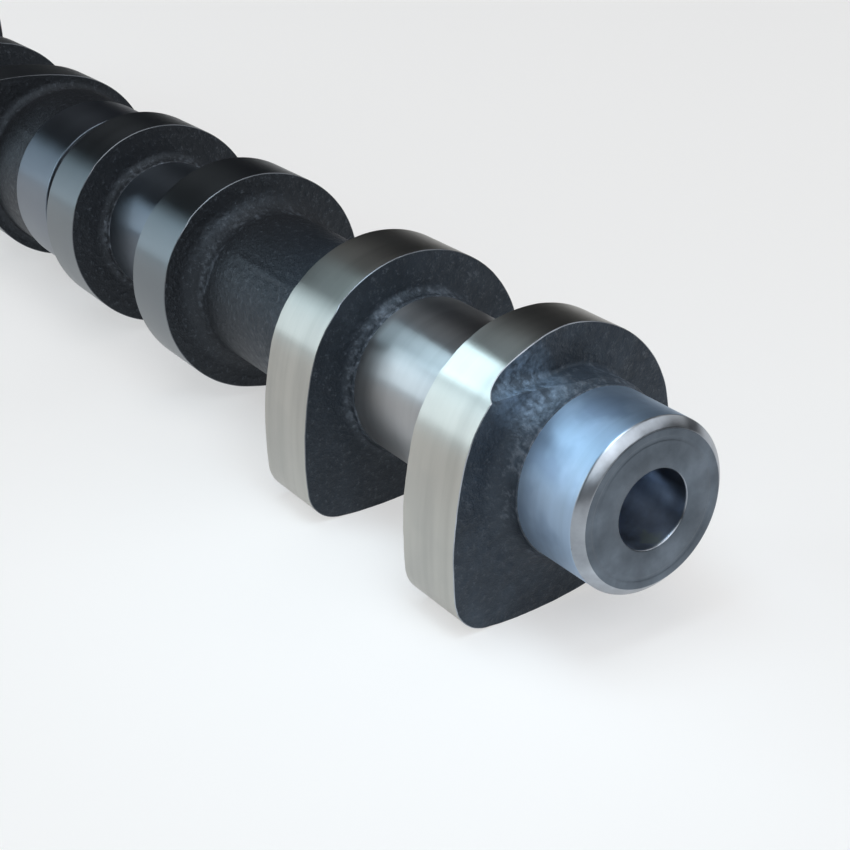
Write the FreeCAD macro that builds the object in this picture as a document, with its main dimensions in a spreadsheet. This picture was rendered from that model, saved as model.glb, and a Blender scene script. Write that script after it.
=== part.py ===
# Camshaft of a four-cylinder engine, two lobes to a cylinder, cast in one piece.
# The axis is X. The rear end face is at X = 0 and the shaft runs toward -X, to the drive end.
# Distances along the shaft are measured from the rear end face, and angles from +Y toward +Z.
# The noses of the first two pairs point down, so the shaft lies level on them.
import FreeCAD, Part
import Sketcher
import math
import os

doc = FreeCAD.newDocument("camshaft")
sheet = doc.addObject("Spreadsheet::Sheet", "Sizes")

# Driving sizes, in millimetres and degrees
sizes = [
    # ground bearings
    ("rear_end", 0),
    ("journal_radius", 13),
    ("wide_journal_radius", 17.7),
    ("end_chamfer", 1.3),
    ("wide_journal_chamfer", 0.8),
    # lobes
    ("base_radius", 20),
    ("lift", 7.2),
    ("nose_radius", 6.1),
    ("flank_radius", 61),
    ("lobe_width", 12.4),
    ("first_lobe", 16.2),
    ("lobe_spacing", 40),
    ("cylinder_pitch", 90),
    ("first_nose_angle", -135),
    ("phase_step", 90),
    # parts left as cast between the lobes
    ("hub_inset", 0.4),
    ("web_radius", 13.6),
    ("web_fillet", 3.6),
    ("journal_fillet", 1.6),
    ("stub_fillet", 3.2),
    ("centre_relief", 0.5),
    ("centre_fillet", 1.8),
    # wide journal behind the fourth lobe
    ("wide_journal_gap", 6),
    ("wide_journal_width", 16),
    # step in the near side of the first lobe
    ("recess_depth", 3.4),
    ("recess_height", 13.6),
    ("recess_fillet", 2.6),
    # drive end
    ("front_neck_length", 9),
    ("front_journal_width", 18),
    ("seat_length", 15),
    # centre holes
    ("hole_radius", 5.9),
    ("hole_depth", 12),
    ("hole_point_angle", 118),
]

# Sizes that follow from them
follow = [
    ("nose_centre", "base_radius + lift - nose_radius"),
    ("hub_radius", "base_radius - hub_inset"),
    ("centre_radius", "wide_journal_radius - centre_relief"),
    ("hole_tip", "hole_depth + hole_radius / tan(hole_point_angle / 2 * 1 deg)"),
]
words = ["one", "two", "three", "four", "five", "six", "seven", "eight"]
for number, word in enumerate(words):
    start = "first_lobe + %d * cylinder_pitch + %d * lobe_spacing" % (number // 2, number % 2)
    follow.append(("start_" + word, start))
    follow.append(("finish_" + word, "start_" + word + " + lobe_width"))
follow += [
    ("angle_pair_one", "first_nose_angle"),
    ("angle_pair_two", "first_nose_angle + phase_step"),
    ("angle_pair_three", "first_nose_angle + 3 * phase_step"),
    ("angle_pair_four", "first_nose_angle + 2 * phase_step"),
    ("wide_journal_start", "finish_four + wide_journal_gap"),
    ("wide_journal_finish", "wide_journal_start + wide_journal_width"),
    ("front_journal_start", "finish_eight + front_neck_length"),
    ("front_journal_finish", "front_journal_start + front_journal_width"),
    ("front_end", "front_journal_finish + seat_length"),
    ("recess_floor", "first_lobe + recess_depth"),
    ("recess_top", "1.1 * base_radius"),
    ("recess_start", "first_lobe - 1.2 * stub_fillet"),
]

for row, (name, value) in enumerate(sizes + follow, 1):
    sheet.set("A%d" % row, name)
    formula = str(value) if row <= len(sizes) else "=" + value
    sheet.set("B%d" % row, formula)
    sheet.setAlias("B%d" % row, name)
doc.recompute()


def size(name):
    return float(sheet.get(name))


body = doc.addObject("PartDesign::Body", "camshaft")
body.Label = "camshaft"
doc.recompute()


def plane(role):
    for feature in body.Origin.OriginFeatures:
        if feature.Role == role:
            return feature


def new_sketch(name, role, reversed_map=False):
    sketch = body.newObject("Sketcher::SketchObject", name)
    sketch.AttachmentSupport = [(plane(role), "")]
    sketch.MapMode = "FlatFace"
    sketch.MapReversed = reversed_map
    return sketch


def bind(sketch, name, kind, *places):
    """Add a size constraint and tie it to the named value."""
    index = sketch.addConstraint(Sketcher.Constraint(kind, *places, size(name)))
    sketch.setExpression("Constraints[%d]" % index, "Sizes." + name)


def side_sketch(name, corners, role="XZ_Plane"):
    """Closed outline in the X-Z or X-Y plane through (distance, height, treatment, its size) corners.

    The reversed plane makes the sketch's own x the distance from the rear end face.
    A height of None is the axis. Every edge but a chamfer or a cone runs along or across the axis.
    """
    sketch = new_sketch(name, role, True)
    points = []
    for along, height, treatment, amount in corners:
        y = 0.0 if height is None else size(height)
        points.append(FreeCAD.Vector(size(along), y, 0))
    count = len(points)
    first_cut, last_cut = [], []
    for i in range(count):
        before = points[i - 1] - points[i]
        after = points[(i + 1) % count] - points[i]
        amount = size(corners[i][3]) if corners[i][3] else 0.0
        before.normalize()
        after.normalize()
        first_cut.append(points[i] + before * amount)
        last_cut.append(points[i] + after * amount)
    edges = []
    for i in range(count):
        edges.append(sketch.addGeometry(Part.LineSegment(last_cut[i], first_cut[(i + 1) % count]), False))
    for i in range(count):
        before, after = edges[i - 1], edges[i]
        treatment, amount = corners[i][2], corners[i][3]
        if treatment == "sharp":
            sketch.addConstraint(Sketcher.Constraint("Coincident", before, 2, after, 1))
        elif treatment == "chamfer":
            cut = sketch.addGeometry(Part.LineSegment(first_cut[i], last_cut[i]), False)
            sketch.addConstraint(Sketcher.Constraint("Coincident", before, 2, cut, 1))
            sketch.addConstraint(Sketcher.Constraint("Coincident", cut, 2, after, 1))
            bind(sketch, amount, "DistanceX", *ordered(sketch, cut, "x"))
            bind(sketch, amount, "DistanceY", *ordered(sketch, cut, "y"))
        else:
            centre = first_cut[i] + last_cut[i] - points[i]
            radius = size(amount)
            middle = centre + (points[i] - centre).normalize() * radius
            arc = sketch.addGeometry(Part.Arc(first_cut[i], middle, last_cut[i]), False)
            start = sketch.getPoint(arc, 1)
            near, far = (1, 2) if (start - first_cut[i]).Length < 1e-6 else (2, 1)
            sketch.addConstraint(Sketcher.Constraint("Tangent", before, 2, arc, near))
            sketch.addConstraint(Sketcher.Constraint("Tangent", arc, far, after, 1))
            bind(sketch, amount, "Radius", arc)
    for i in range(count):
        j = (i + 1) % count
        across = abs(points[i].x - points[j].x) < 1e-6
        along = abs(points[i].y - points[j].y) < 1e-6
        if across:
            sketch.addConstraint(Sketcher.Constraint("Vertical", edges[i]))
            fix_distance(sketch, edges[i], corners[i][0])
        elif along:
            if corners[i][1] is None:
                sketch.addConstraint(Sketcher.Constraint("PointOnObject", edges[i], 1, -1))
                sketch.addConstraint(Sketcher.Constraint("PointOnObject", edges[i], 2, -1))
            else:
                sketch.addConstraint(Sketcher.Constraint("Horizontal", edges[i]))
                bind(sketch, corners[i][1], "DistanceY", -1, 1, edges[i], 1)
        else:
            # a cone's edge, down to the axis
            bind(sketch, corners[j][0], "DistanceX", -1, 1, edges[i], 2)
            bind(sketch, corners[i][0], "DistanceX", -1, 1, edges[i], 1)
    return sketch


def ordered(sketch, edge, way):
    """The edge's ends in the order that makes its extent positive."""
    start = getattr(sketch.getPoint(edge, 1), way)
    finish = getattr(sketch.getPoint(edge, 2), way)
    return (edge, 1, edge, 2) if finish > start else (edge, 2, edge, 1)


def fix_distance(sketch, edge, name):
    """Hold an edge that runs across the axis at a named distance from the rear end face."""
    if abs(size(name)) < 1e-9:
        sketch.addConstraint(Sketcher.Constraint("PointOnObject", edge, 1, -2))
    else:
        bind(sketch, name, "DistanceX", -1, 1, edge, 1)


def turn(kind, name, sketch, angle=360):
    """Revolve a side sketch about the axis, adding or cutting, from +Z toward +Y."""
    feature = body.newObject("PartDesign::" + kind, name)
    feature.Profile = sketch
    feature.ReferenceAxis = (sketch, ["H_Axis"])
    feature.Angle = angle
    sketch.Visibility = False
    doc.recompute()
    return feature


# Shaft with all its journals, and a round hub inside every lobe
corners = [("rear_end", None, "sharp", None), ("rear_end", "journal_radius", "chamfer", "end_chamfer")]


def waist(begin, finish, radius, fillet):
    """Neck between two hubs, filleted into both."""
    corners.append((begin, "hub_radius", "sharp", None))
    corners.append((begin, radius, "fillet", fillet))
    corners.append((finish, radius, "fillet", fillet))
    corners.append((finish, "hub_radius", "sharp", None))


corners.append(("start_one", "journal_radius", "fillet", "stub_fillet"))
corners.append(("start_one", "hub_radius", "sharp", None))
waist("finish_one", "start_two", "journal_radius", "journal_fillet")
waist("finish_two", "start_three", "web_radius", "web_fillet")
waist("finish_three", "start_four", "journal_radius", "journal_fillet")
corners += [
    ("finish_four", "hub_radius", "sharp", None),
    ("finish_four", "centre_radius", "fillet", "centre_fillet"),
    ("wide_journal_start", "centre_radius", "sharp", None),
    ("wide_journal_start", "wide_journal_radius", "sharp", None),
    ("wide_journal_finish", "wide_journal_radius", "sharp", None),
    ("wide_journal_finish", "centre_radius", "sharp", None),
    ("start_five", "centre_radius", "fillet", "centre_fillet"),
    ("start_five", "hub_radius", "sharp", None),
]
waist("finish_five", "start_six", "journal_radius", "journal_fillet")
waist("finish_six", "start_seven", "web_radius", "web_fillet")
waist("finish_seven", "start_eight", "journal_radius", "journal_fillet")
corners += [
    ("finish_eight", "hub_radius", "sharp", None),
    ("finish_eight", "web_radius", "fillet", "web_fillet"),
    ("front_journal_start", "web_radius", "sharp", None),
    ("front_journal_start", "wide_journal_radius", "chamfer", "wide_journal_chamfer"),
    ("front_journal_finish", "wide_journal_radius", "chamfer", "wide_journal_chamfer"),
    ("front_journal_finish", "journal_radius", "sharp", None),
    ("front_end", "journal_radius", "chamfer", "end_chamfer"),
    ("front_end", None, "sharp", None),
]
shaft = turn("Revolution", "Shaft", side_sketch("ShaftOutline", corners))


def lobe_sketch(name, start, angle):
    """Cam outline of four arcs: base circle, nose and two flanks, with its nose along the sketch's x."""
    sketch = new_sketch(name, "YZ_Plane")
    sketch.AttachmentOffset = FreeCAD.Placement(
        FreeCAD.Vector(0, 0, -size(start)), FreeCAD.Rotation(FreeCAD.Vector(0, 0, 1), size(angle)))
    sketch.setExpression("AttachmentOffset.Base.z", "-Sizes." + start)
    sketch.setExpression("AttachmentOffset.Rotation.Angle", "Sizes." + angle)
    base, nose, flank = size("base_radius"), size("nose_radius"), size("flank_radius")
    reach = size("nose_centre")
    # the flank's centre lies flank - base from the axis and flank - nose from the nose's centre
    cx = ((flank - base) ** 2 - (flank - nose) ** 2 + reach ** 2) / (2 * reach)
    cy = math.sqrt((flank - base) ** 2 - cx ** 2)
    to_base = FreeCAD.Vector(-cx, cy, 0).normalize()
    to_nose = FreeCAD.Vector(reach - cx, cy, 0).normalize()
    base_angle = math.atan2(to_base.y, to_base.x)
    nose_angle = math.atan2(to_nose.y, to_nose.x)
    origin = FreeCAD.Vector(0, 0, 0)
    tip = FreeCAD.Vector(reach, 0, 0)
    up = FreeCAD.Vector(0, 0, 1)

    def arc(centre, radius, begin, finish):
        circle = Part.Circle(centre, up, radius)
        return sketch.addGeometry(Part.ArcOfCircle(circle, begin, finish), False)

    back = arc(origin, base, base_angle, 2 * math.pi - base_angle)
    lower = arc(FreeCAD.Vector(cx, cy, 0), flank, -base_angle, -nose_angle)
    front = arc(tip, nose, -nose_angle, nose_angle)
    upper = arc(FreeCAD.Vector(cx, -cy, 0), flank, nose_angle, base_angle)
    sketch.addConstraint(Sketcher.Constraint("Coincident", back, 3, -1, 1))
    sketch.addConstraint(Sketcher.Constraint("PointOnObject", front, 3, -1))
    sketch.addConstraint(Sketcher.Constraint("Tangent", back, 2, lower, 1))
    sketch.addConstraint(Sketcher.Constraint("Tangent", lower, 2, front, 1))
    sketch.addConstraint(Sketcher.Constraint("Tangent", front, 2, upper, 1))
    sketch.addConstraint(Sketcher.Constraint("Tangent", upper, 2, back, 1))
    bind(sketch, "base_radius", "Radius", back)
    bind(sketch, "nose_radius", "Radius", front)
    bind(sketch, "flank_radius", "Radius", lower)
    bind(sketch, "flank_radius", "Radius", upper)
    bind(sketch, "nose_centre", "DistanceX", -1, 1, front, 3)
    return sketch


# Lobes, in pairs with their noses in line
pairs = ["angle_pair_one", "angle_pair_two", "angle_pair_three", "angle_pair_four"]
for number, word in enumerate(words):
    outline = lobe_sketch("LobeOutline" + word.capitalize(), "start_" + word, pairs[number // 2])
    lobe = body.newObject("PartDesign::Pad", "Lobe" + word.capitalize())
    lobe.Profile = outline
    lobe.Reversed = True
    lobe.setExpression("Length", "Sizes.lobe_width")
    outline.Visibility = False
    doc.recompute()

# Step cast into the near side of the first lobe. Two level edges leave the side that carries
# the nose standing, one above the stub and one beside it, and between them it follows the stub.
before = body.Shape.Volume
step_corners = [
    ("recess_start", "recess_height", "sharp", None),
    ("recess_floor", "recess_height", "fillet", "recess_fillet"),
    ("recess_floor", "recess_top", "sharp", None),
    ("recess_start", "recess_top", "sharp", None),
]
for name, role in (("RecessAbove", "XZ_Plane"), ("RecessBeside", "XY_Plane")):
    step_outline = side_sketch(name + "Outline", step_corners, role)
    step = body.newObject("PartDesign::Pocket", name)
    step.Profile = step_outline
    step.Midplane = True
    step.setExpression("Length", "4 * Sizes.base_radius")
    step_outline.Visibility = False
    doc.recompute()
    if body.Shape.Volume >= before:
        raise RuntimeError("%s cuts nothing" % name)
    before = body.Shape.Volume
turn("Groove", "RecessRound", side_sketch("RecessRoundOutline", step_corners), 90)
if body.Shape.Volume >= before:
    raise RuntimeError("RecessRound cuts nothing")

# Centre hole drilled in the rear end face
rear_hole = side_sketch("RearHoleOutline", [
    ("rear_end", None, "sharp", None),
    ("rear_end", "hole_radius", "sharp", None),
    ("hole_depth", "hole_radius", "sharp", None),
    ("hole_tip", None, "sharp", None),
])
turn("Groove", "RearHole", rear_hole)

doc.recompute()
for thing in doc.Objects:
    if "Invalid" in thing.State or "Error" in thing.State:
        raise RuntimeError("%s: %s" % (thing.Name, thing.State))
shape = body.Shape
if shape.isNull() or not shape.isValid() or len(shape.Solids) != 1:
    raise RuntimeError("the camshaft isn't one sound solid")

os.makedirs("parts", exist_ok=True)
shape.exportStep("parts/camshaft.step")
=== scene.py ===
import math

import bpy
import numpy as np
from mathutils import Matrix, Quaternion, Vector, noise

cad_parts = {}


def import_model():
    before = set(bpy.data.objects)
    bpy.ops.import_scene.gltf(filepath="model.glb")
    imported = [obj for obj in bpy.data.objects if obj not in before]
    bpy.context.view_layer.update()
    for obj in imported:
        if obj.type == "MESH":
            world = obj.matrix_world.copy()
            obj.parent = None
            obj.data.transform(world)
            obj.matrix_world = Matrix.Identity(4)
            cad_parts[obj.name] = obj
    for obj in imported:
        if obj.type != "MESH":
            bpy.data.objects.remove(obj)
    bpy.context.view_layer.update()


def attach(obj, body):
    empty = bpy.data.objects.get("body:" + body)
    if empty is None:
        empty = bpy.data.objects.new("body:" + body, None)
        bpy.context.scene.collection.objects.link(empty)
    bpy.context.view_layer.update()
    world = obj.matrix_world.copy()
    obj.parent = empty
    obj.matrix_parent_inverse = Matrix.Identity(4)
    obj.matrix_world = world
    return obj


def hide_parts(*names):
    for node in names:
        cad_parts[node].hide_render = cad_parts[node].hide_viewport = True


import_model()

MM = 0.001

# The shaft's own sizes, in millimetres; distances run from the rear end face toward -X
STUB = 13.0  # radii: the stub and the narrow journals, the wide ones, the cast necks
WIDE = 17.7
CENTRE = 17.2
WEB = 13.6
BASE, LIFT, NOSE, FLANK = 20.0, 7.2, 6.1, 61.0  # the cam outline's lift and arcs
WIDTH = 12.4
STARTS = (16.2, 56.2, 106.2, 146.2, 196.2, 236.2, 286.2, 326.2)  # near sides of the lobes
NOSES = (-135, -135, -45, -45, 135, 135, 45, 45)  # degrees from +Y toward +Z
WIDE_AT = (164.6, 180.6)
DRIVE_AT = (347.6, 365.6)
END = 380.6
STUB_FILLET, WEB_FILLET, CENTRE_FILLET = 1.6, 3.6, 1.8  # between a lobe and what is beside it
ROOT_LENGTH = 1.7  # from a lobe's side to the ground journal beside it
CHAMFER = ((11.78, 0.12), (12.84, 1.12), (12.94, 1.24), (STUB, 1.42))  # radius and depth from the end face
HOLE, HOLE_DEPTH, HOLE_POINT = 5.9, 12.0, 3.545  # radius, depth to the shoulder, drill point
LEVEL = 13.6  # height of the recess's edge over the axis
RECESS = 3.4  # depth of the recess
FAR = 99.0  # a radius past every edge
PARTING = -45.0  # degrees round to the mould's parting plane
EDGE = 0.12  # how far the cast sides stop short of the ground outline
FLOOR_Z = -21.2

# finishes, in the order of the material slots
CAST, LOBE, JOURNAL, TURNED, BORE, SATIN, ROOT, RIM = range(8)
COLUMNS = 224


def angles():
    """Angles round the shaft, closer together where the noses and the parting line are."""
    fine = np.linspace(0, 2 * np.pi, 4001)
    total = np.cumsum(1 + 0.6 * np.sin(2 * fine) ** 2)
    total = (total - total[0]) / (total[-1] - total[0])
    return np.interp(np.arange(COLUMNS) / COLUMNS, total, fine)


PHI = angles()


def cam_radius(nose):
    """Radius of the four-arc cam outline at every angle."""
    phi = np.abs((PHI - math.radians(nose) + np.pi) % (2 * np.pi) - np.pi)
    reach = BASE + LIFT - NOSE
    a, b = FLANK - BASE, FLANK - NOSE
    cx = (a * a - b * b + reach * reach) / (2 * reach)
    cy = math.sqrt(a * a - cx * cx)
    base_angle = math.atan2(cy, -cx)
    n = math.hypot(reach - cx, cy)
    tip = math.atan2(NOSE * cy / n, reach + NOSE * (reach - cx) / n)

    def circle(x, y, r):
        c = np.cos(phi) * x + np.sin(phi) * y
        return c + np.sqrt(np.maximum(c * c - (x * x + y * y - r * r), 0))

    out = np.where(phi < base_angle, circle(cx, -cy, FLANK), BASE)
    inside = 0.02  # keeps the outline within the solid's
    return np.where(phi < tip, circle(reach, 0, NOSE), out) - inside


def wavy(s, r, scale, shift):
    """Smooth noise at points of the surface, about -1 to 1."""
    s, r = np.broadcast_to(s, PHI.shape), np.broadcast_to(r, PHI.shape)
    out = np.empty(COLUMNS)
    for j in range(COLUMNS):
        p = Vector((s[j] + shift, r[j] * math.cos(PHI[j]), r[j] * math.sin(PHI[j]))) / scale
        out[j] = noise.fractal(p, 1.0, 2.0, 2, noise_basis="PERLIN_ORIGINAL")
    return out


def parting(r, width):
    """1 on the two parting lines of the mould, falling away across them."""
    out = np.zeros(COLUMNS)
    for line in (PARTING + 180, PARTING):
        d = (PHI - math.radians(line) + np.pi) % (2 * np.pi) - np.pi
        out += np.exp(-((d * r / width) ** 2))
    return out


def upper_half(r, width):
    """1 on the upper side of the mould's parting plane and 0 on the lower, over a short ramp."""
    over = np.sin(PHI - math.radians(PARTING)) * r
    return 0.5 + 0.5 * np.tanh(over / width)


rings = []
creases = set()


def ring(s, r, zone, crease=False):
    """One loop of points; zone is the finish of the strip that leads to it."""
    if crease:
        creases.add(len(rings))
    s, r = (np.broadcast_to(x, PHI.shape).astype(float) for x in (s, r))
    rings.append((s, r, zone))


def smoothstep(x, a, b):
    """0 up to a, 1 from b on, and smooth between them."""
    t = np.clip((x - a) / (b - a), 0, 1)
    return t * t * (3 - 2 * t)


def corner_arc(last, corner, ahead, radius):
    """Points of an arc that rounds the corner between the points before and after it."""
    before, after = last - corner, ahead - corner
    la, lb = np.linalg.norm(before), np.linalg.norm(after)
    before, after = before / la, after / lb
    half = math.acos(max(-1, min(1, float(before @ after)))) / 2
    reach = min(radius / max(math.tan(half), 1e-6), 0.49 * la, 0.49 * lb)
    r = reach * math.tan(half)
    centre = corner + (before + after) / np.linalg.norm(before + after) * (r / math.sin(half))
    first, final = corner + before * reach - centre, corner + after * reach - centre
    turn = math.acos(max(-1, min(1, float(first @ final) / (r * r))))
    if turn < 1e-6:
        return np.array([corner])
    t = np.linspace(0, 1, 9)[:, None]
    return centre + (np.sin((1 - t) * turn) * first + np.sin(t * turn) * final) / math.sin(turn)


def recess_rise(phi):
    """How fast the height over the recess's edge grows with the radius.

    The edge is level above the stub, upright beside it and rounds the corner between."""
    c, s = math.cos(phi), math.sin(phi)
    if c >= 0 and s >= 0:
        return 1.0
    return max(c, s, 0.0)


def fillet_arc(at, sign, neck, fillet, upto):
    """Points (s, r) of the cast fillet from the neck out to a radius."""
    whole = upto >= neck + fillet
    turn = math.pi / 2 if whole else math.acos(max(0.0, 1 - (upto - neck) / fillet))
    t = np.linspace(0, turn, 14)
    return np.stack([at + sign * fillet * (1 - np.sin(t)), neck + fillet * (1 - np.cos(t))], axis=1)


def recessed_path(at, neck, fillet, top, phi):
    """Near side of the first lobe at one angle, from the neck out, as (s, r) points."""
    rise = recess_rise(phi)
    edge = LEVEL / rise if rise > 0.3 else FAR
    if edge > top - 0.05:
        return np.vstack([fillet_arc(at, -1, neck, fillet, FAR), [[at, top]]])
    arc = fillet_arc(at, -1, neck, fillet, edge)
    if edge > neck + fillet:
        arc = np.vstack([arc, [[at, edge]]])
    # the recess's own fillet is wide where its level edge leaves the stub and tight round it
    away = smoothstep(edge, LEVEL + 0.1, 16.0)
    ahead = arc[-1] - arc[-2]
    ahead /= np.hypot(*ahead)
    # its floor comes forward toward the left
    turn = math.degrees(phi) if phi < math.pi * 1.25 else 0.0
    deep = RECESS - 1.0 * smoothstep(turn, 84, 112) - 0.6 * smoothstep(turn, 124, 136)
    depth, hollow = at + deep, min(0.6 + 2.0 * away, deep - 0.2)
    lip, foot = np.array([arc[-1][0], LEVEL]), LEVEL + 0.04
    rounding = corner_arc(lip - [ahead[0], ahead[1] * rise], lip, np.array([depth - hollow, foot]),
                          0.16 + 0.10 * away)
    t = np.linspace(0, math.pi / 2, 13)
    quarter = np.stack([depth - hollow + hollow * np.sin(t), foot + hollow * (1 - np.cos(t))], axis=1)
    bend = np.vstack([rounding, quarter, [[depth, 40.0]]])
    bend[:, 1] /= rise
    # cut off at the lobe's edge
    last = np.argmin(bend[:, 1] < top)
    p, q = bend[last - 1], bend[last]
    share = (top - p[1]) / (q[1] - p[1])
    # the lip's own rounding replaces the end of the arc
    arc = arc[arc[:, 1] < bend[0, 1] - 1e-6]
    return np.vstack([arc, bend[:last], [p + (q - p) * share]])


def side(at, sign, neck, fillet, ridge, count, nose, step, seed):
    """Rings over one cast side of a lobe.

    sign -1: the near side, from the neck out; 1: the far side, from the edge in."""
    outer = cam_radius(nose) - EDGE
    neck = neck + ridge
    s, r = np.empty((count, COLUMNS)), np.empty((count, COLUMNS))
    for j in range(COLUMNS):
        if step:
            path = recessed_path(at, neck, fillet, outer[j], PHI[j])
        else:
            path = np.vstack([fillet_arc(at, sign, neck, fillet, FAR), [[at, outer[j]]]])
        # points closer together where the path bends
        move = np.diff(path, axis=0)
        length = np.hypot(move[:, 0], move[:, 1])
        heading = np.arctan2(move[:, 1], move[:, 0])
        bend = np.abs(np.diff(heading, prepend=heading[:1]))
        weight = np.concatenate([[0], np.cumsum(length + 0.9 * np.minimum(bend, 0.6))])
        want = np.linspace(0, weight[-1], count)
        s[:, j] = np.interp(want, weight, path[:, 0])
        r[:, j] = np.interp(want, weight, path[:, 1])
    out = []
    for k in range(count):
        free = smoothstep(r[k], neck, neck + 1.2)
        rough = 0.13 * wavy(at, r[k], 7.0, seed) + 0.05 * wavy(s[k], r[k], 1.6, seed + 40)
        if step:
            # the parting line stands proud, and lumps stand on the lower left
            low = smoothstep(r[k], 14.5, 17.0) * np.exp(-(((PHI - math.radians(222)) / 0.42) ** 2))
            lumps = np.maximum(wavy(s[k], r[k], 1.3, 77.0), 0)
            line = -0.14 * parting(r[k], 0.45) - 0.30 * low * lumps
        else:
            # the mould's halves are a little out of line
            line = 0.30 * (upper_half(r[k], 0.35) - 0.5) * (1 if sign < 0 else -0.6)
        out.append((s[k] + free * (rough + line), r[k]))
    return out if sign < 0 else out[::-1]


def lobe(number, near, far, step=False):
    """A lobe; near and far are each side's neck radius, fillet, ridge over the neck and count of rings."""
    at, nose, seed = STARTS[number], NOSES[number], 11.0 * number
    near_rings = side(at, -1, *near, nose, step, seed)
    far_rings = side(at + WIDTH, 1, *far, nose, False, seed + 5)
    top = cam_radius(nose)
    first, last = near_rings[-1][0], far_rings[0][0]
    for k, (s, r) in enumerate(near_rings):
        ring(s, r, ROOT if r.mean() < near[0] + 1.1 * near[1] else CAST, k == len(near_rings) - 1)
    # the ground outline stands a little over the cast sides, and its near edge is worn
    ring(first + 0.09, top, RIM, True)
    ring(first + 0.38, top, LOBE)
    for t in (0.33, 0.67):
        ring(first + (last - first) * t, top, LOBE)
    ring(last - 0.35, top, LOBE)
    ring(last - 0.11, top, LOBE, True)
    for k, (s, r) in enumerate(far_rings):
        ring(s, r, ROOT if r.mean() < far[0] + 1.1 * far[1] else CAST, k == 0)


def journal(number, ridge=0.14):
    """Ground cylinder from one lobe to the next, between cast fillets that start a little proud of it."""
    start, finish = STARTS[number] + WIDTH + ROOT_LENGTH, STARTS[number + 1] - ROOT_LENGTH
    ring(start, STUB + ridge, ROOT, True)
    ring(start + 0.14, STUB, ROOT, True)
    ring(start + 0.5, STUB, JOURNAL)
    for t in (0.3, 0.7):
        ring(start + (finish - start) * t, STUB, JOURNAL)
    ring(finish - 0.5, STUB, JOURNAL)
    ring(finish - 0.14, STUB, JOURNAL, True)
    ring(finish, STUB + ridge, ROOT, True)


def cast_neck(start, finish, radius, count, seed):
    """Neck left as it was cast, with the mould's parting lines along it."""
    for t in np.linspace(0, 1, count):
        s = start + (finish - start) * t
        relief = 0.13 * wavy(s, radius, 8.0, seed) + 0.2 * parting(radius, 0.7)
        ring(s, radius + min(1.0, 6 * t * (1 - t)) * relief, CAST)


def wide(ends, before, after):
    """Wide ground journal with square sides and broken edges; before and after are the radii next to it."""
    a, b = ends
    ring(a, before + 0.02, CAST)
    ring(a, WIDE - 0.22, CAST)
    ring(a + 0.06, WIDE - 0.07, TURNED)
    ring(a + 0.2, WIDE, TURNED)
    ring(a + 0.45, WIDE, JOURNAL)
    for t in (0.35, 0.65):
        ring(a + (b - a) * t, WIDE, JOURNAL)
    ring(b - 0.45, WIDE, JOURNAL)
    ring(b - 0.2, WIDE, JOURNAL)
    ring(b - 0.06, WIDE - 0.07, TURNED)
    ring(b, WIDE - 0.22, TURNED)
    ring(b, after + 0.02, CAST if after > STUB else TURNED)


def stub_rings():
    """The centre hole, from its drilled point to its sharp edge, the turned end face and the stub."""
    for r in (0.35, 1.6, 3.2, 4.6, 5.6):
        ring(HOLE_DEPTH + HOLE_POINT * (1 - r / HOLE), r, BORE)
    ring(HOLE_DEPTH + 0.03, HOLE - 0.04, BORE)
    for s in (HOLE_DEPTH - 0.2, 9, 6, 3, 0.6, 0.22):
        ring(s, HOLE, BORE)
    ring(0.06, 6.0, RIM)
    # the end face has a shallow ring in it
    for r, s in ((6.12, 0.0), (8.2, 0.0), (9.75, 0.0), (9.9, 0.02), (10.0, 0.07),
                 (10.45, 0.07), (10.55, 0.02), (10.7, 0.0), (11.45, 0.0), (11.62, 0.03)):
        ring(s, r, TURNED)
    for r, s in CHAMFER:
        ring(s, r, RIM)
    for s in (1.7, 5.0, 9.0, 12.3):
        ring(s, STUB, SATIN)
    ring(12.78, STUB, SATIN, True)
    ring(12.92, STUB + 0.16, ROOT, True)


def drive_rings():
    """The plain seat at the drive end, its chamfer and its end face."""
    for s in (DRIVE_AT[1] + 0.4, 372.0, END - 2.0):
        ring(s, STUB, JOURNAL)
    for r, depth in reversed(CHAMFER):
        ring(END - depth, r, JOURNAL if r == STUB else TURNED)
    for r, depth in ((11.62, 0.03), (11.45, 0.0), (8.0, 0.0), (4.0, 0.0), (0.6, 0.0)):
        ring(END - depth, r, TURNED)


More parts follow.
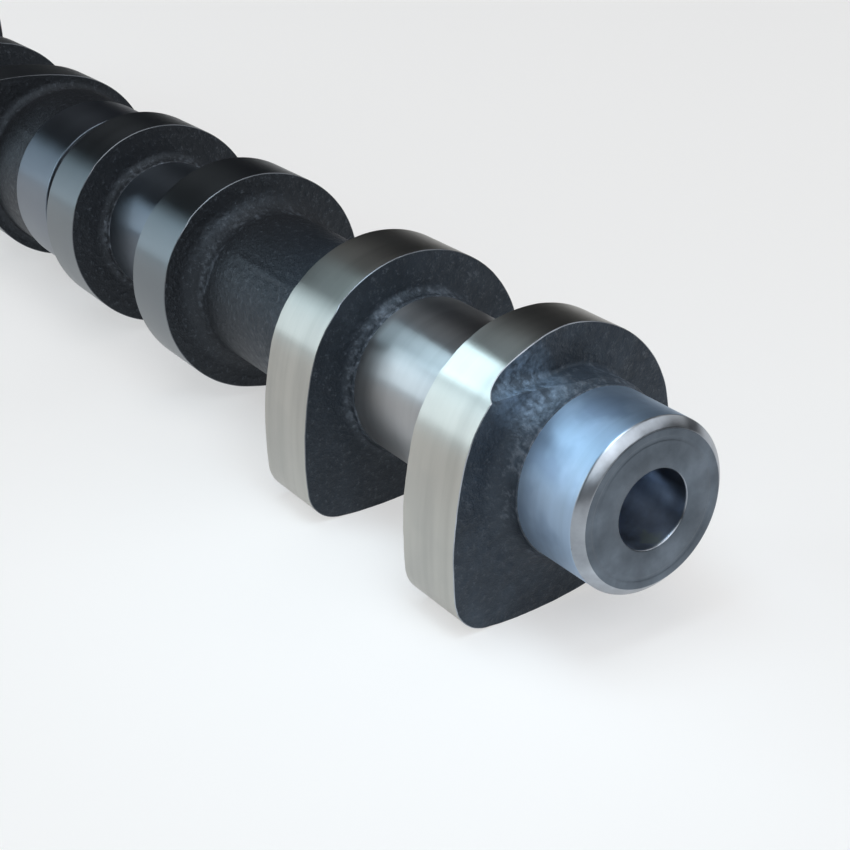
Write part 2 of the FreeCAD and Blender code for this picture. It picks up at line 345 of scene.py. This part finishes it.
def shaft_rings():
    """Every ring of the shaft, from the bottom of the centre hole to the middle of the far end face."""
    stub, web, centre = (STUB, STUB_FILLET), (WEB, WEB_FILLET), (CENTRE, CENTRE_FILLET)
    past_web, past_centre = WEB_FILLET + 0.4, CENTRE_FILLET + 0.4
    stub_rings()
    lobe(0, (STUB, 3.2, 0.16, 52), (*stub, 0.12, 11), step=True)
    journal(0)
    lobe(1, (*stub, 0.22, 21), (*web, 0.0, 12))
    cast_neck(STARTS[1] + WIDTH + past_web, STARTS[2] - past_web, WEB, 7, 3.0)
    lobe(2, (*web, 0.0, 20), (*stub, 0.14, 11))
    journal(2)
    lobe(3, (*stub, 0.2, 19), (*centre, 0.0, 9))
    cast_neck(STARTS[3] + WIDTH + past_centre, WIDE_AT[0] - 0.4, CENTRE, 3, 9.0)
    wide(WIDE_AT, CENTRE, CENTRE)
    cast_neck(WIDE_AT[1] + 0.4, STARTS[4] - past_centre, CENTRE, 4, 12.0)
    lobe(4, (*centre, 0.0, 17), (*stub, 0.14, 10))
    journal(4)
    lobe(5, (*stub, 0.16, 17), (*web, 0.0, 11))
    cast_neck(STARTS[5] + WIDTH + past_web, STARTS[6] - past_web, WEB, 6, 21.0)
    lobe(6, (*web, 0.0, 17), (*stub, 0.14, 10))
    journal(6)
    lobe(7, (*stub, 0.16, 17), (*web, 0.0, 11))
    cast_neck(STARTS[7] + WIDTH + past_web, DRIVE_AT[0] - 0.3, WEB, 3, 30.0)
    wide(DRIVE_AT, WEB, STUB)
    drive_rings()


def build_mesh():
    """The shaft's one mesh: a grid of rings, closed by a fan at each end."""
    shaft_rings()
    count = len(rings)
    s = np.array([x[0] for x in rings])
    r = np.array([x[1] for x in rings])
    points = np.stack([-s, r * np.cos(PHI), r * np.sin(PHI)], axis=2).reshape(-1, 3) * MM
    hole_tip, far_end = -(HOLE_DEPTH + HOLE_POINT), -END
    points = np.vstack([points, [[hole_tip * MM, 0, 0]], [[far_end * MM, 0, 0]]])
    j = np.arange(COLUMNS)
    k = (j + 1) % COLUMNS
    faces, zones = [], []
    for i in range(1, count):
        a, b = (i - 1) * COLUMNS, i * COLUMNS
        faces.append(np.stack([a + j, b + j, b + k, a + k], axis=1))
        zones += [rings[i][2]] * COLUMNS
    quads = np.concatenate(faces)
    tip, back = count * COLUMNS, count * COLUMNS + 1
    last = (count - 1) * COLUMNS
    fans = np.concatenate([
        np.stack([np.full_like(j, tip), j, k], axis=1),
        np.stack([last + j, np.full_like(j, back), last + k], axis=1)])
    zones += [BORE] * COLUMNS + [TURNED] * COLUMNS
    mesh = bpy.data.meshes.new("camshaft_finished")
    mesh.from_pydata(points.tolist(), [], quads.tolist() + fans.tolist())
    mesh.polygons.foreach_set("material_index", np.array(zones, dtype=np.int32))
    mesh.polygons.foreach_set("use_smooth", np.ones(len(zones), dtype=bool))
    mesh.validate()
    mesh.update()
    # an edge is sharp where both its ends are on a creased ring
    ends = np.empty(2 * len(mesh.edges), dtype=np.int32)
    mesh.edges.foreach_get("vertices", ends)
    at = ends.reshape(-1, 2) // COLUMNS
    sharp = (at[:, 0] == at[:, 1]) & np.isin(at[:, 0], sorted(creases))
    mesh.attributes.new("sharp_edge", "BOOLEAN", "EDGE").data.foreach_set("value", sharp)
    thing = bpy.data.objects.new("camshaft_finished", mesh)
    bpy.context.scene.collection.objects.link(thing)
    return thing


# Materials

def new_material(name):
    m = bpy.data.materials.new(name)
    m.use_nodes = True
    return m, m.node_tree, m.node_tree.nodes["Principled BSDF"]


def node(tree, kind, **values):
    n = tree.nodes.new(kind)
    for key, value in values.items():
        setattr(n, key, value)
    return n


def link(tree, a, b):
    tree.links.new(a, b)


def put(tree, socket, value):
    """A socket's value: a link, a number or a colour."""
    if isinstance(value, (int, float)):
        socket.default_value = value
    elif isinstance(value, tuple):
        socket.default_value = (*value, 1)
    else:
        link(tree, value, socket)


def place(tree):
    """Object coordinates as one vector."""
    return node(tree, "ShaderNodeTexCoord").outputs["Object"]


def split(tree):
    """Object coordinates one by one."""
    n = node(tree, "ShaderNodeSeparateXYZ")
    link(tree, place(tree), n.inputs[0])
    return n.outputs


def perlin(tree, steps, detail, roughness):
    """Noise with so many steps a metre, alike in all directions or along each axis."""
    m = node(tree, "ShaderNodeMapping")
    m.inputs["Scale"].default_value = steps if isinstance(steps, tuple) else (steps,) * 3
    link(tree, place(tree), m.inputs["Vector"])
    n = node(tree, "ShaderNodeTexNoise")
    n.inputs["Scale"].default_value = 1.0
    n.inputs["Detail"].default_value = detail
    n.inputs["Roughness"].default_value = roughness
    link(tree, m.outputs["Vector"], n.inputs["Vector"])
    return n.outputs["Fac"]


def ramp(tree, source, *stops):
    """Colour by the source's value."""
    n = node(tree, "ShaderNodeValToRGB")
    e = n.color_ramp.elements
    while len(e) < len(stops):
        e.new(0.5)
    for element, (at, colour) in zip(e, stops):
        element.position = at
        element.color = (*colour, 1)
    link(tree, source, n.inputs["Fac"])
    return n.outputs["Color"]


def span(tree, source, low, high, to_low, to_high):
    """The source's range stretched to another, and held at its ends."""
    n = node(tree, "ShaderNodeMapRange")
    for name, value in (("From Min", low), ("From Max", high), ("To Min", to_low), ("To Max", to_high)):
        n.inputs[name].default_value = value
    link(tree, source, n.inputs["Value"])
    return n.outputs["Result"]


def maths(tree, operation, value, *others):
    """The operation on one value, or on the first two and then on its result and the next."""
    for other in others or (None,):
        n = node(tree, "ShaderNodeMath", operation=operation)
        put(tree, n.inputs[0], value)
        if other is not None:
            put(tree, n.inputs[1], other)
        value = n.outputs["Value"]
    return value


def bump(tree, height, distance, strength, before=None):
    """Relief by the height, on top of the relief before it."""
    n = node(tree, "ShaderNodeBump")
    n.inputs["Strength"].default_value = strength
    n.inputs["Distance"].default_value = distance
    link(tree, height, n.inputs["Height"])
    if before is not None:
        link(tree, before, n.inputs["Normal"])
    return n.outputs["Normal"]


def mix(tree, share, a, b):
    """From colour a at share 0 to colour b at share 1."""
    n = node(tree, "ShaderNodeMix", data_type="RGBA")
    for socket, value in ((n.inputs[0], share), (n.inputs[6], a), (n.inputs[7], b)):
        put(tree, socket, value)
    return n.outputs[2]


def times(colour, *factors):
    """A colour multiplied by one factor, or by one a channel."""
    if len(factors) == 1:
        factors *= 3
    return tuple(c * f for c, f in zip(colour, factors))


def distance_from_axis(tree):
    """Distance from the shaft's axis, and the place along it."""
    x, y, z = split(tree)
    square = maths(tree, "ADD", maths(tree, "MULTIPLY", y, y), maths(tree, "MULTIPLY", z, z))
    return maths(tree, "SQRT", square), x


def painted_far_shade(tree, x):
    """0 on the first two lobes, 1 from the third on, where painted shade makes the shaft darker and its
    ground metal bluer.
    """
    return span(tree, x, -0.1000, -0.0780, 1.0, 0.0)


def cast_material(name, rubbed_sheen):
    """Dark skin of a sand casting: fine grain, low lumps and faint cloudy patches.

    rubbed_sheen: for the fillets beside the ground journals, brighter and partly metallic where they meet
    the journal, partly as wear and partly as a painted sheen."""
    m, t, p = new_material(name)
    grain = perlin(t, 2900, 3.0, 0.6)
    lumps = perlin(t, 1000, 3.0, 0.55)
    patches = perlin(t, 130, 4.0, 0.55)
    spots = maths(t, "ADD", lumps, patches)
    radius, x = distance_from_axis(t)

    # near black, with painted shade making the far half darker and painted light making the near side of the
    # first lobe paler
    dark = ramp(t, patches, (0.32, (0.0055, 0.0075, 0.0105)), (0.55, (0.0105, 0.0135, 0.0180)),
                (0.75, (0.0200, 0.0245, 0.0310)))
    dark = mix(t, painted_far_shade(t, x), dark, (0.0080, 0.0080, 0.0090))
    painted_near_light = ramp(t, patches, (0.32, (0.010, 0.014, 0.020)), (0.55, (0.020, 0.027, 0.037)),
                     (0.75, (0.040, 0.052, 0.068)))
    dark = mix(t, span(t, x, -0.0230, -0.0205, 0.0, 1.0), dark, painted_near_light)
    speck = span(t, maths(t, "MULTIPLY", grain, lumps), 0.30, 0.46, 0.0, 1.0)
    colour = mix(t, maths(t, "MULTIPLY", speck, 0.6), dark, (0.085, 0.095, 0.110))

    # painted highlight: a bright, speckled bluish patch, partly metallic, between the step on the first lobe
    # and the stub
    off = node(t, "ShaderNodeVectorMath", operation="DISTANCE")
    link(t, place(t), off.inputs[0])
    off.inputs[1].default_value = (-0.0175, -0.0085, 0.0140)
    painted_glint_patch = span(t, off.outputs["Value"], 0.0025, 0.0070, 1.0, 0.0)
    painted_glint_and_wear = maths(t, "MULTIPLY", painted_glint_patch, span(t, spots, 0.84, 1.26, 0.12, 1.0))
    colour = mix(t, painted_glint_and_wear, colour, (0.21, 0.29, 0.39))
    if rubbed_sheen:
        # paler, partly metallic ring where the fillet meets the journal: part wear, part painted sheen
        near = span(t, radius, 0.0131, 0.0144, 1.0, 0.0)
        wear_and_painted_sheen = maths(t, "MULTIPLY", near, span(t, spots, 1.00, 1.24, 0.03, 0.8))
        colour = mix(t, wear_and_painted_sheen, colour, (0.15, 0.17, 0.20))
        painted_glint_and_wear = maths(t, "MAXIMUM", painted_glint_and_wear, wear_and_painted_sheen)

    link(t, colour, p.inputs["Base Color"])
    # metallic where the painted highlight patch and the paler fillet ring are
    link(t, maths(t, "MULTIPLY", painted_glint_and_wear, 0.7), p.inputs["Metallic"])
    p.inputs["Specular IOR Level"].default_value = 0.55
    p.inputs["Specular Tint"].default_value = (0.74, 0.86, 1.0, 1.0)
    link(t, span(t, lumps, 0.3, 0.7, 0.60, 0.44), p.inputs["Roughness"])
    low = bump(t, lumps, 0.00030, 0.8)
    link(t, bump(t, grain, 0.00010, 0.9, low), p.inputs["Normal"])
    return m


def marks_round(t, p, anisotropic):
    """Bare metal whose marks run round the axis, so that its highlights spread along it."""
    p.inputs["Metallic"].default_value = 1.0
    p.inputs["Anisotropic"].default_value = anisotropic
    p.inputs["Anisotropic Rotation"].default_value = 0.25
    tangent = node(t, "ShaderNodeTangent", direction_type="RADIAL", axis="X")
    link(t, tangent.outputs["Tangent"], p.inputs["Tangent"])


def ground_material(name, colour, rough, anisotropic, stain):
    """Ground steel, faintly streaked and stained, with painted shade making it darker and bluer from the
    third lobe on.
    """
    m, t, p = new_material(name)
    streaks = perlin(t, (420, 30, 30), 3.0, 0.55)
    cloud = perlin(t, 110, 3.0, 0.5)
    x = split(t)["X"]
    tone = ramp(t, streaks, (0.30, times(colour, 0.90)), (0.50, colour), (0.72, times(colour, 1.06)))
    tone = mix(t, span(t, cloud, 0.46, 0.58, 0.0, stain), tone, times(colour, 0.62, 0.64, 0.70))
    # painted shade: darker and bluer from the third lobe on
    tone = mix(t, painted_far_shade(t, x), tone, times(colour, 0.40, 0.455, 0.53))
    link(t, tone, p.inputs["Base Color"])
    marks_round(t, p, anisotropic)
    both = maths(t, "ADD", maths(t, "MULTIPLY", cloud, 0.6), maths(t, "MULTIPLY", streaks, 0.4))
    link(t, span(t, both, 0.35, 0.65, rough * 0.985, rough * 1.06), p.inputs["Roughness"])
    return m


def turned_material(name, colour, rough, pitch, depth, painted_upper_shade=0.0, painted_far_dimming=0.0):
    """Turned metal with fine rings about the axis.

    painted_upper_shade: how much painted shade darkens its upper half. dull: how much painted shade darkens
    it past the first lobe."""
    m, t, p = new_material(name)
    radius, x = distance_from_axis(t)
    cloud = perlin(t, 180, 4.0, 0.55)
    tone = ramp(t, cloud, (0.32, times(colour, 0.72)), (0.52, colour), (0.70, times(colour, 1.35)))
    # painted shade: darker past the first lobe
    if painted_far_dimming:
        tone = mix(t, span(t, x, -0.0480, -0.0340, painted_far_dimming, 0.0), tone, times(colour, 0.25))
    # painted shade: the upper half is darker
    if painted_upper_shade:
        z = split(t)["Z"]
        tone = mix(t, span(t, z, -0.0012, 0.0016, 0.0, painted_upper_shade), tone, (0.035, 0.028, 0.030))
    link(t, tone, p.inputs["Base Color"])
    marks_round(t, p, 0.35)
    link(t, span(t, cloud, 0.3, 0.7, rough * 0.9, rough * 1.15), p.inputs["Roughness"])
    along = maths(t, "MULTIPLY", maths(t, "SUBTRACT", radius, x), 2 * math.pi / pitch)
    wobble = maths(t, "MULTIPLY", perlin(t, 300, 2.0, 0.55), 2.0)
    turns = maths(t, "SINE", maths(t, "ADD", along, wobble))
    link(t, bump(t, turns, depth, 0.5), p.inputs["Normal"])
    return m


def floor_material():
    """Pale floor that keeps its shadow.

    Half of what the camera and the metal see of it is plain white, so that it looks even."""
    m, t, p = new_material("floor")
    p.inputs["Base Color"].default_value = (0.92, 0.90, 0.885, 1)
    p.inputs["Roughness"].default_value = 0.9
    p.inputs["Specular IOR Level"].default_value = 0.1
    path = node(t, "ShaderNodeLightPath").outputs
    seen = maths(t, "MAXIMUM", path["Is Camera Ray"], path["Is Glossy Ray"], path["Is Transmission Ray"])
    white = node(t, "ShaderNodeEmission")
    white.inputs["Strength"].default_value = 1.0
    both = node(t, "ShaderNodeMixShader")
    link(t, maths(t, "MULTIPLY", seen, 0.5), both.inputs[0])
    link(t, p.outputs["BSDF"], both.inputs[1])
    link(t, white.outputs["Emission"], both.inputs[2])
    link(t, both.outputs["Shader"], t.nodes["Material Output"].inputs["Surface"])
    return m


camshaft = build_mesh()
for material in (
    cast_material("cast_iron_skin", False),
    ground_material("ground_lobes", (0.43, 0.425, 0.395), 0.28, 0.78, 0.10),
    ground_material("ground_journals", (0.42, 0.425, 0.43), 0.285, 0.78, 0.12),
    # painted shade: the turned faces are much darker than the other turned metal, for the dark surroundings
    # they reflect
    turned_material("turned_faces_painted_shade", (0.125, 0.150, 0.180), 0.34, 0.00022, 0.000006),
    # painted light and shade: a pale bluish colour for the lit lower wall of the bore, painted shade
    # darkening its upper half
    turned_material("drilled_hole", (0.62, 0.72, 0.86), 0.31, 0.0012, 0.000002, painted_upper_shade=0.86),
    ground_material("satin_stub", (0.36, 0.47, 0.61), 0.46, 0.30, 0.60),
    # fillets paler where they meet the journals: part wear, part painted sheen
    cast_material("cast_iron_rubbed_painted_sheen", True),
    # painted shade darkens these edges past the first lobe
    turned_material("turned_edges", (0.36, 0.39, 0.43), 0.30, 0.00022, 0.000001, painted_far_dimming=0.8),
):
    camshaft.data.materials.append(material)
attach(camshaft, "root")
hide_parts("camshaft")


# Stage, light and camera

def floor():
    """A floor that reaches past the view from every side, a hair under the noses that rest on it."""
    mesh = bpy.data.meshes.new("floor")
    reach, z = 40.0, (FLOOR_Z - 0.02) * MM
    corners = [(x * reach, y * reach, z) for x, y in ((-1, -1), (1, -1), (1, 1), (-1, 1))]
    mesh.from_pydata(corners, [], [(0, 1, 2, 3)])
    thing = bpy.data.objects.new("floor", mesh)
    bpy.context.scene.collection.objects.link(thing)
    mesh.materials.append(floor_material())


def world():
    """A dim room with a soft light overhead, by the sine of the elevation."""
    w = bpy.data.worlds.new("studio")
    bpy.context.scene.world = w
    w.use_nodes = True
    t = w.node_tree
    way = node(t, "ShaderNodeSeparateXYZ")
    link(t, node(t, "ShaderNodeTexCoord").outputs["Generated"], way.inputs[0])
    shade = ramp(t, maths(t, "MAXIMUM", way.outputs["Z"], 0.0),
                 (0.0, (0.012, 0.013, 0.015)), (0.30, (0.003, 0.003, 0.004)),
                 (0.93, (0.008, 0.008, 0.010)), (0.975, (1.0, 1.0, 1.0)))
    back = t.nodes["Background"]
    link(t, shade, back.inputs["Color"])
    back.inputs["Strength"].default_value = 2.2


def panel(name, azimuth, elevation, distance, width, height, radiance, colour, roll=0, target=(-0.04, 0, 0)):
    """Soft rectangular light aimed at target.

    The azimuth runs from +X toward +Y. Width and height are angles, seen from the target."""
    a, e = math.radians(azimuth), math.radians(elevation)
    way = Vector((math.cos(a) * math.cos(e), math.sin(a) * math.cos(e), math.sin(e)))
    light = bpy.data.lights.new(name, "AREA")
    light.shape = "RECTANGLE"
    light.size = 2 * distance * math.tan(math.radians(width / 2))
    light.size_y = 2 * distance * math.tan(math.radians(height / 2))
    light.color = colour
    light.energy = radiance * math.pi * light.size * light.size_y
    thing = bpy.data.objects.new(name, light)
    thing.location = Vector(target) + way * distance
    turned = way.to_track_quat("Z", "Y") @ Quaternion((0, 0, 1), math.radians(roll))
    thing.rotation_euler = turned.to_euler()
    thing.visible_camera = False
    bpy.context.scene.collection.objects.link(thing)


def camera():
    """The camera, placed by its own right and up directions."""
    data = bpy.data.cameras.new("camera")
    data.lens = 70.32
    data.sensor_width = 36
    data.clip_start = 0.01
    thing = bpy.data.objects.new("camera", data)
    right = Vector((0.55871, 0.82921, -0.016))
    back = right.cross(Vector((-0.34938, 0.25281, 0.90223))).normalized()
    up = back.cross(right).normalized()
    m = Matrix((right.normalized(), up, back)).transposed().to_4x4()
    m.translation = Vector((0.14459, -0.13195, 0.10544))
    thing.matrix_world = m
    bpy.context.scene.collection.objects.link(thing)
    bpy.context.scene.camera = thing


floor()
world()
# two small windows close over the stub and the first lobe, which the rest of the shaft sees at other angles
panel("window_top", 250, 78, 0.07, 40, 24, 6.0, (0.62, 0.84, 1.0), target=(-0.004, -0.004, 0.011))
panel("window_high", 203, 35.5, 0.065, 26, 17, 6.4, (0.66, 0.88, 1.0),
      roll=-34, target=(-0.022, -0.011, 0.016))
# windows beyond the shaft, which its lobes and journals reflect
panel("window_mid", 227, 28.5, 1.0, 36, 11, 2.9, (0.72, 0.90, 1.0))
panel("window_low_a", 206, 12, 1.0, 8, 20, 0.7, (0.76, 0.90, 1.0))
panel("window_low_b", 213, 12.5, 1.0, 6, 21, 2.6, (0.78, 0.92, 1.0))
panel("window_low_c", 231, 14.5, 1.0, 30, 17, 2.2, (0.80, 0.93, 1.0))
panel("window_low_d", 231, 3, 1.0, 30, 6, 1.0, (0.84, 0.94, 1.0))
panel("window_side", 260, 20, 1.0, 28, 36, 1.3, (0.86, 0.95, 1.0))
# soft boxes on the near side
panel("key_front", -5, 45, 3.0, 50, 34, 2.1, (0.96, 0.98, 1.0))
panel("key_left", -62, 56, 3.0, 24, 20, 2.4, (0.90, 0.96, 1.0))
panel("key_lens", -38, 27, 1.0, 18, 14, 2.6, (0.88, 0.95, 1.0))
panel("key_right", 55, 42, 3.0, 28, 24, 1.4, (0.96, 0.98, 1.0))
panel("fill_right", 92, 30, 3.0, 40, 30, 0.8, (1.0, 0.99, 0.97))
camera()

bpy.context.scene.view_settings.view_transform = "Standard"
